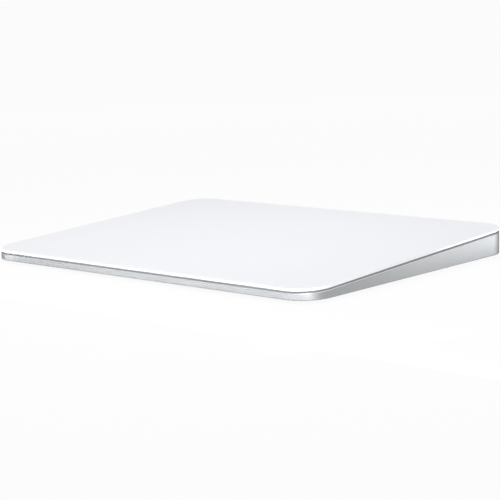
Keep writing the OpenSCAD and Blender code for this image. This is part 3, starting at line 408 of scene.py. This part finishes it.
def coilTree(spec):
    tree, given = newTree("coilWinding", {"Turns": "Float", "Length": "Float", "Half width": "Float",
                                          "Half height": "Float", "Wire radius": "Float", "Step": "Float",
                                          "Finish": "Material"})
    helix = addNode(tree, "GeometryNodeCurveSpiral",
                    {"Resolution": spec["pointsPerTurn"], "Rotations": given["Turns"], "Start Radius": 1.0,
                     "End Radius": 1.0, "Height": given["Length"]}).outputs[0]
    here = addNode(tree, "GeometryNodeInputPosition").outputs[0]
    at = addNode(tree, "ShaderNodeSeparateXYZ", {0: here}).outputs
    # a circle whose four sides are pressed flat
    limits = {1: -spec["squareness"], 2: spec["squareness"], 3: -1.0, 4: 1.0}
    across = addNode(tree, "ShaderNodeMapRange", {0: at["X"], **limits}).outputs[0]
    upward = addNode(tree, "ShaderNodeMapRange", {0: at["Y"], **limits}).outputs[0]
    turned = addNode(tree, "ShaderNodeCombineXYZ", {"X": at["Z"], "Y": across, "Z": upward}).outputs[0]
    size = addNode(tree, "ShaderNodeCombineXYZ", {"X": 1.0, "Y": given["Half width"],
                                                  "Z": given["Half height"]}).outputs[0]
    spot = addNode(tree, "ShaderNodeVectorMath", {0: turned, 1: size}, operation="MULTIPLY").outputs[0]
    path = addNode(tree, "GeometryNodeSetPosition", {"Geometry": helix, "Position": spot}).outputs[0]
    section = addNode(tree, "GeometryNodeCurvePrimitiveCircle",
                      {"Resolution": spec["wireSides"], "Radius": given["Wire radius"]}).outputs[0]
    wire = addNode(tree, "GeometryNodeCurveToMesh", {"Curve": path, "Profile Curve": section,
                                                     "Fill Caps": True}).outputs[0]
    soft = addNode(tree, "GeometryNodeSetShadeSmooth", {"Geometry": wire}).outputs[0]
    offset = addNode(tree, "ShaderNodeCombineXYZ", {"Y": given["Step"]}).outputs[0]
    legs = addNode(tree, "GeometryNodeMeshLine", {"Count": spec["count"], "Offset": offset}).outputs[0]
    coils = addNode(tree, "GeometryNodeInstanceOnPoints", {"Points": legs, "Instance": soft}).outputs[0]
    real = addNode(tree, "GeometryNodeRealizeInstances", {"Geometry": coils}).outputs[0]
    done = addNode(tree, "GeometryNodeSetMaterial",
                   {"Geometry": real, "Material": given["Finish"]}).outputs[0]
    addNode(tree, "NodeGroupOutput", {"Geometry": done})
    return tree


coilStart = Vector((coilSpec["start"] + coilSpec["wire"] / 2, coilSpec["firstY"], coilSpec["level"])) * mm
coils = growPiece("coil_windings", coilTree(coilSpec), bpy.data.meshes.new("coil_windings"),
                  {"Turns": coilSpec["turns"], "Length": (coilSpec["length"] - coilSpec["wire"]) * mm,
                   "Half width": coilSpec["halfWidth"] * mm, "Half height": coilSpec["halfHeight"] * mm,
                   "Wire radius": coilSpec["wire"] / 2 * mm, "Step": coilSpec["step"] * mm,
                   "Finish": finish["enamelledCopper"]}, deckPlace @ Matrix.Translation(coilStart))
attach(coils, "base")
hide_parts("coil_front", "coil_middle", "coil_rear")


# ridges for a fingernail across the power knob (millimetres); they stay below the housing's rear face
ridgeSpec = {"count": 5, "step": 0.55, "middle": (62.0, 57.25, 5.2), "halfWidth": 0.13, "proud": 0.11,
             "halfHeight": 0.52, "segments": 12, "rings": 8}


def ridgeTree(spec):
    tree, given = newTree("knobRidges", {"Count": "Int", "Step": "Float", "Half size": "Vector",
                                         "Finish": "Material"})
    ball = addNode(tree, "GeometryNodeMeshUVSphere",
                   {"Segments": spec["segments"], "Rings": spec["rings"], "Radius": 1.0}).outputs[0]
    ridge = addNode(tree, "GeometryNodeTransform", {"Geometry": ball, "Scale": given["Half size"]}).outputs[0]
    soft = addNode(tree, "GeometryNodeSetShadeSmooth", {"Geometry": ridge}).outputs[0]
    offset = addNode(tree, "ShaderNodeCombineXYZ", {"X": given["Step"]}).outputs[0]
    row = addNode(tree, "GeometryNodeMeshLine", {"Count": given["Count"], "Offset": offset}).outputs[0]
    ridges = addNode(tree, "GeometryNodeInstanceOnPoints", {"Points": row, "Instance": soft}).outputs[0]
    real = addNode(tree, "GeometryNodeRealizeInstances", {"Geometry": ridges}).outputs[0]
    done = addNode(tree, "GeometryNodeSetMaterial",
                   {"Geometry": real, "Material": given["Finish"]}).outputs[0]
    addNode(tree, "NodeGroupOutput", {"Geometry": done})
    return tree


firstRidge = Vector(ridgeSpec["middle"]) - Vector(((ridgeSpec["count"] - 1) / 2 * ridgeSpec["step"], 0, 0))
ridgeHalf = Vector((ridgeSpec["halfWidth"], ridgeSpec["proud"], ridgeSpec["halfHeight"])) * mm
ridges = growPiece("knob_ridges", ridgeTree(ridgeSpec), bpy.data.meshes.new("knob_ridges"),
                   {"Count": ridgeSpec["count"], "Step": ridgeSpec["step"] * mm, "Half size": ridgeHalf[:],
                    "Finish": finish["sparkErodedPlastic"]}, Matrix.Translation(firstRidge * mm))
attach(ridges, "power_knob")


# small parts that stand in rows, each made of a few blocks
def blockTree(name, labels):
    sockets = {"Points": "Geometry", "Smallest": "Float", "Seed": "Int"}
    for label in labels:
        sockets.update({label + " size": "Vector", label + " place": "Vector", label + " finish": "Material"})
    tree, given = newTree(name, sockets)
    angle = addNode(tree, "GeometryNodeInputNamedAttribute", {"Name": "turn"}, data_type="FLOAT").outputs[0]
    turn = addNode(tree, "ShaderNodeCombineXYZ", {"Z": angle}).outputs[0]
    size = addNode(tree, "FunctionNodeRandomValue", {2: given["Smallest"], 3: 1.0, "Seed": given["Seed"]},
                   data_type="FLOAT").outputs[1]
    joined = addNode(tree, "GeometryNodeJoinGeometry")
    for label in labels:
        block = addNode(tree, "GeometryNodeMeshCube", {"Size": given[label + " size"]}).outputs[0]
        moved = addNode(tree, "GeometryNodeTransform",
                        {"Geometry": block, "Translation": given[label + " place"]}).outputs[0]
        rows = addNode(tree, "GeometryNodeInstanceOnPoints",
                       {"Points": given["Points"], "Instance": moved, "Rotation": turn,
                        "Scale": size}).outputs[0]
        real = addNode(tree, "GeometryNodeRealizeInstances", {"Geometry": rows}).outputs[0]
        coated = addNode(tree, "GeometryNodeSetMaterial",
                         {"Geometry": real, "Material": given[label + " finish"]}).outputs[0]
        tree.links.new(coated, joined.inputs[0])
    addNode(tree, "NodeGroupOutput", {"Geometry": joined.outputs[0]})
    return tree


def rowPoints(name, rows, level):
    # a row is x, y, count, step in x, step in y, turn in degrees
    points, turns = [], []
    for x, y, count, stepX, stepY, turn in rows:
        points += [((x + k * stepX) * mm, (y + k * stepY) * mm, level * mm) for k in range(count)]
        turns += [math.radians(turn)] * count
    mesh = bpy.data.meshes.new(name)
    mesh.from_pydata(points, [], [])
    mesh.attributes.new("turn", "FLOAT", "POINT").data.foreach_set("value", turns)
    return mesh


def growRows(name, spec, place):
    values = {"Smallest": spec["smallest"], "Seed": spec["seed"]}
    for label, (size, spot, coat) in spec["blocks"].items():
        values[label + " size"] = [v * mm for v in size]
        values[label + " place"] = [v * mm for v in spot]
        values[label + " finish"] = finish[coat]
    tree = blockTree(name + "Rows", spec["blocks"])
    return growPiece(name, tree, rowPoints(name, spec["rows"], spec["level"]), values, place)


# chip capacitors: a ceramic body between two tinned ends (millimetres)
chipBlocks = {"body": ((0.96, 0.50, 0.45), (0, 0, 0.245), "sinteredCeramic"),
              "left end": ((0.22, 0.54, 0.49), (-0.39, 0, 0.245), "reflowedTin"),
              "right end": ((0.22, 0.54, 0.49), (0.39, 0, 0.245), "reflowedTin")}
boardTop = 3.8  # the logic board's upper face
boardChips = {
    "smallest": 0.75, "seed": 7, "blocks": chipBlocks, "level": boardTop,
    "rows": [(46.4, 24.2, 8, 0, 1.5, 0), (52.2, 37.4, 5, 1.3, 0, 90), (52.6, 40.2, 12, 1.35, 0, 90),
             (52.6, 42.6, 10, 1.35, 0, 90), (71.4, 24.0, 10, 0, 1.6, 0), (49.2, 24.6, 6, 1.3, 0, 90)],
}
chips = growRows("board_chips", boardChips, Matrix.Identity(4))
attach(chips, "base")

# the same chips hang under the sensor board, round its touch chip; y counts forward here
sensorChips = {
    "smallest": 0.75, "seed": 11, "blocks": chipBlocks, "level": 0, "underside": -1.9,
    "rows": [(-6.2, 26.5, 6, 0, 1.4, 0), (6.2, 26.5, 6, 0, 1.4, 0), (-4.2, 36.2, 7, 1.4, 0, 90),
             (-4.2, 23.8, 7, 1.4, 0, 90)],
}
hang = Matrix.Translation((0, 0, sensorChips["underside"] * mm)) @ Matrix.Rotation(math.pi, 4, "X")
hanging = growRows("sensor_chips", sensorChips, deckPlace @ hang)
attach(hanging, "touch_plate")

# bent contacts along the cable connectors: a foot on the board and a riser against the connector's side
pinSpec = {
    "smallest": 1.0, "seed": 3, "level": boardTop,
    "blocks": {"foot": ((0.20, 0.45, 0.10), (0, 0.225, 0.05), "goldPlating"),
               "riser": ((0.20, 0.10, 0.50), (0, 0.05, 0.35), "goldPlating")},
    "rows": [(46.25, 21.5, 8, 0.5, 0, 0), (58.5, 21.0, 19, 0.5, 0, 180), (49.0, 47.3, 3, 0, 0.5, -90)],
}
pins = growRows("connector_pins", pinSpec, Matrix.Identity(4))
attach(pins, "base")


# the two battery cells: a deep drawn pouch that is sealed flat along its rear edge (millimetres)
cellSpec = {"seal": 0.3, "terrace": 3.2, "edge": 1.6, "crown": 0.10, "wrinkle": 0.07, "wrinkleSize": 5.0,
            "steps": (0, 0.04, 0.12, 0.25, 0.45, 0.7, 1), "columns": 40, "rows": 26, "terraceRows": 4,
            "crownPower": 4, "sharpAngle": 50}


def edgeRise(distance, radius):
    if distance <= 0:
        return 0.0
    return math.sqrt(1 - max(0.0, 1 - distance / radius) ** 2)


def stations(start, end, spec, count):
    # places along one side of the cell, closer together where the edges are round
    edge = spec["edge"]
    middle = [start + edge + (end - start - 2 * edge) * k / count for k in range(1, count)]
    near = [start + edge * s for s in spec["steps"]]
    far = [end - edge * s for s in reversed(spec["steps"])]
    return near + middle + far


def pouchMesh(name, spec, low, high):
    low, high = Vector(low) / mm, Vector(high) / mm
    shoulder = high.y - spec["terrace"]
    xs = stations(low.x, high.x, spec, spec["columns"])
    steps = spec["terraceRows"]
    terrace = [shoulder + spec["terrace"] * k / steps for k in range(1, steps + 1)]
    ys = stations(low.y, shoulder, spec, spec["rows"]) + terrace
    drawn = high.z - low.z - spec["seal"]
    top, bottom = [], []
    for y in ys:
        for x in xs:
            rise = edgeRise(min(x - low.x, high.x - x), spec["edge"])
            rise *= edgeRise(y - low.y, spec["edge"]) * edgeRise(shoulder - y, spec["edge"])
            outX = abs(2 * (x - low.x) / (high.x - low.x) - 1)
            outY = abs(2 * (y - low.y) / (high.y - low.y) - 1)
            sag = spec["crown"] * max(outX, outY) ** spec["crownPower"]
            ripple = noise.noise(Vector((x, y, 0)) / spec["wrinkleSize"]) * 0.5 + 0.5
            height = spec["seal"] + rise * (drawn - sag - spec["wrinkle"] * ripple)
            top.append(Vector((x, y, low.z + height)) * mm)
            bottom.append(Vector((x, y, low.z)) * mm)
    wide, count = len(xs), len(top)
    quads = [(k, k + 1, k + 1 + wide, k + wide) for k in range(count - wide) if (k + 1) % wide]
    faces = quads + [tuple(count + k for k in reversed(quad)) for quad in quads]
    rim = list(range(wide)) + list(range(2 * wide - 1, count, wide))
    rim += list(range(count - 2, count - wide - 1, -1)) + list(range(count - 2 * wide, 0, -wide))
    faces += [(a, a + count, b + count, b) for a, b in zip(rim, rim[1:] + rim[:1])]
    mesh = bpy.data.meshes.new(name)
    mesh.from_pydata(top + bottom, [], faces)
    mesh.shade_smooth()
    mesh.set_sharp_from_angle(angle=math.radians(spec["sharpAngle"]))
    return mesh


for side in ("left", "right"):
    pouch = bpy.data.objects.new("cell_pouch_" + side,
                                 pouchMesh("cell_pouch_" + side, cellSpec, *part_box("cell_" + side)))
    pouch.data.materials.append(finish["pouchFoil"])
    scene.collection.objects.link(pouch)
    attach(pouch, "base")
    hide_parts("cell_" + side)
print("cells made:", len(pouch.data.polygons), "faces each")

# nickel tabs from the sealed edge of each cell to the guard board behind it
tabSpec = {"smallest": 1.0, "seed": 5, "level": 2.35,
           "blocks": {"strip": ((4.0, 2.4, 0.12), (0, 1.2, 0.06), "nickelPlatedSheet"),
                      "weld": ((3.0, 0.12, 0.9), (0, 2.34, 0.45), "nickelPlatedSheet")},
           "rows": [(-48.0, 43.65, 2, 24.0, 0, 0), (3.0, 43.65, 2, 24.0, 0, 0)]}
tabs = growRows("cell_tabs", tabSpec, Matrix.Identity(4))
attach(tabs, "base")

# a plain copy of the touch cable in its resting shape; the real cable bends as the plate is pressed,
# its foot staying on the logic board and its top sinking with the plate, but this copy is not made to bend
cable = bpy.data.objects.new("touch_cable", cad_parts["touch_flat"].data.copy())
scene.collection.objects.link(cable)
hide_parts("touch_flat")
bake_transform(cable)
print("touch cable made:", len(cable.data.polygons), "faces")

# studio: white paper in a white tent, with dark flags on the right and behind for the shaded side;
# the strip lamps lie low on the paper, under the level of the glass
studio = {
    "floorSize": 40.0, "floorColour": "FAFAFA", "floorGlow": 0.92, "tent": 0.62,
    "flagTop": 0.8, "flags": [(25, 75, 1.0), (105, 45, 0.5)],  # azimuth, half width, share of the light taken
    "lamps": {
        "overheadSoftbox": {"place": (0.03, -0.03, 0.22), "target": (0.03, -0.03, 0.0), "width": 0.20,
                            "height": 0.20, "watts": 0.21},
        "backPanel": {"place": (-0.53, 0.565, 0.19), "target": (0, 0, 0), "width": 0.8, "height": 0.35,
                      "watts": 0.16},
        "frontStrip": {"place": (0.045, -0.1025, 0.0025), "target": (0.045, -0.05, 0.0025), "width": 0.27,
                       "height": 0.004, "watts": 0.032},
        "cornerStrip": {"place": (0.130, -0.090, 0.0025), "target": (0.078, -0.055, 0.0025), "width": 0.05,
                        "height": 0.004, "watts": 0.008},
        "leftStrip": {"place": (-0.0935, -0.0755, 0.0025), "target": (-0.0695, -0.0575, 0.0025),
                      "width": 0.008, "height": 0.004, "watts": 0.0015},
        "sideStrip": {"place": (0.108, 0.055, 0.002), "target": (0.081, 0.042, 0.002), "width": 0.075,
                      "height": 0.004, "watts": 0.0045},
    },
}


def seenDirectly(tree):
    # white for the camera, and for what shows in metal and glass
    path = addNode(tree, "ShaderNodeLightPath").outputs
    reflected = addNode(tree, "ShaderNodeMath", {0: path["Is Glossy Ray"], 1: path["Is Transmission Ray"]},
                        operation="MAXIMUM").outputs[0]
    seen = addNode(tree, "ShaderNodeMath", {0: path["Is Camera Ray"], 1: reflected},
                   operation="MAXIMUM").outputs[0]
    return path["Is Camera Ray"], seen


def addFloor(spec):
    mesh = bpy.data.meshes.new("studioFloor")
    half = spec["floorSize"] / 2
    corners = [(-half, -half, 0), (half, -half, 0), (half, half, 0), (-half, half, 0)]
    mesh.from_pydata(corners, [], [(0, 1, 2, 3)])
    floor = bpy.data.objects.new("studioFloor", mesh)
    scene.collection.objects.link(floor)
    mat, tree = newMaterial("studioPaper")
    glow = addNode(tree, "ShaderNodeMath", {0: seenDirectly(tree)[1], 1: spec["floorGlow"]},
                   operation="MULTIPLY").outputs[0]
    paper = addNode(tree, "ShaderNodeBsdfDiffuse", {"Color": linear(spec["floorColour"])}).outputs[0]
    white = addNode(tree, "ShaderNodeEmission", {"Strength": 1.0}).outputs[0]
    mixed = addNode(tree, "ShaderNodeMixShader", {0: glow, 1: paper, 2: white})
    addNode(tree, "ShaderNodeOutputMaterial", {"Surface": mixed.outputs[0]})
    mesh.materials.append(mat)


def addTent(spec):
    world = bpy.data.worlds.new("studioTent")
    scene.world = world
    world.use_nodes = True
    tree = world.node_tree
    tree.nodes.clear()
    camera, seen = seenDirectly(tree)
    sight = addNode(tree, "ShaderNodeTexCoord").outputs["Generated"]
    height = addNode(tree, "ShaderNodeSeparateXYZ", {0: sight}).outputs["Z"]
    # the flags stand on the floor, change a low band and show only as reflections in metal and glass
    level = addNode(tree, "ShaderNodeVectorMath", {0: sight, 1: (1, 1, 0)}, operation="MULTIPLY").outputs[0]
    around = addNode(tree, "ShaderNodeVectorMath", {0: level}, operation="NORMALIZE").outputs[0]
    band = addNode(tree, "ShaderNodeMapRange", {0: height, 1: 0.0, 2: spec["flagTop"], 3: 1.0, 4: 0.0},
                   interpolation_type="SMOOTHSTEP").outputs[0]
    unflagged = 1.0
    for azimuth, halfWidth, share in spec["flags"]:
        angle = math.radians(azimuth)
        rim = math.cos(math.radians(halfWidth))
        near = addNode(tree, "ShaderNodeVectorMath", {0: around, 1: (math.cos(angle), math.sin(angle), 0)},
                       operation="DOT_PRODUCT").outputs["Value"]
        flag = addNode(tree, "ShaderNodeMapRange", {0: near, 1: rim, 2: 1.0, 3: 0.0, 4: -share},
                       interpolation_type="SMOOTHSTEP").outputs[0]
        kept = addNode(tree, "ShaderNodeMath", {0: flag, 1: band, 2: 1.0},
                       operation="MULTIPLY_ADD").outputs[0]
        unflagged = addNode(tree, "ShaderNodeMath", {0: unflagged, 1: kept}, operation="MULTIPLY").outputs[0]
    strength = addNode(tree, "ShaderNodeMapRange", {0: seen, 3: spec["tent"], 4: unflagged}).outputs[0]
    shown = addNode(tree, "ShaderNodeMath", {0: strength, 1: camera}, operation="MAXIMUM").outputs[0]
    light = addNode(tree, "ShaderNodeBackground", {"Color": (1, 1, 1, 1), "Strength": shown})
    addNode(tree, "ShaderNodeOutputWorld", {"Surface": light.outputs[0]})


def addLamp(name, spec):
    data = bpy.data.lights.new(name, "AREA")
    data.shape = "RECTANGLE"
    data.size, data.size_y, data.energy = spec["width"], spec["height"], spec["watts"]
    lamp = bpy.data.objects.new(name, data)
    lamp.location = spec["place"]
    lamp.rotation_euler = (Vector(spec["target"]) - Vector(spec["place"])).to_track_quat("-Z", "Y").to_euler()
    lamp.visible_camera = False
    scene.collection.objects.link(lamp)


addFloor(studio)
addTent(studio)
for lampName, lampSpec in studio["lamps"].items():
    addLamp(lampName, lampSpec)
scene.view_settings.view_transform = "Standard"
print("studio set")
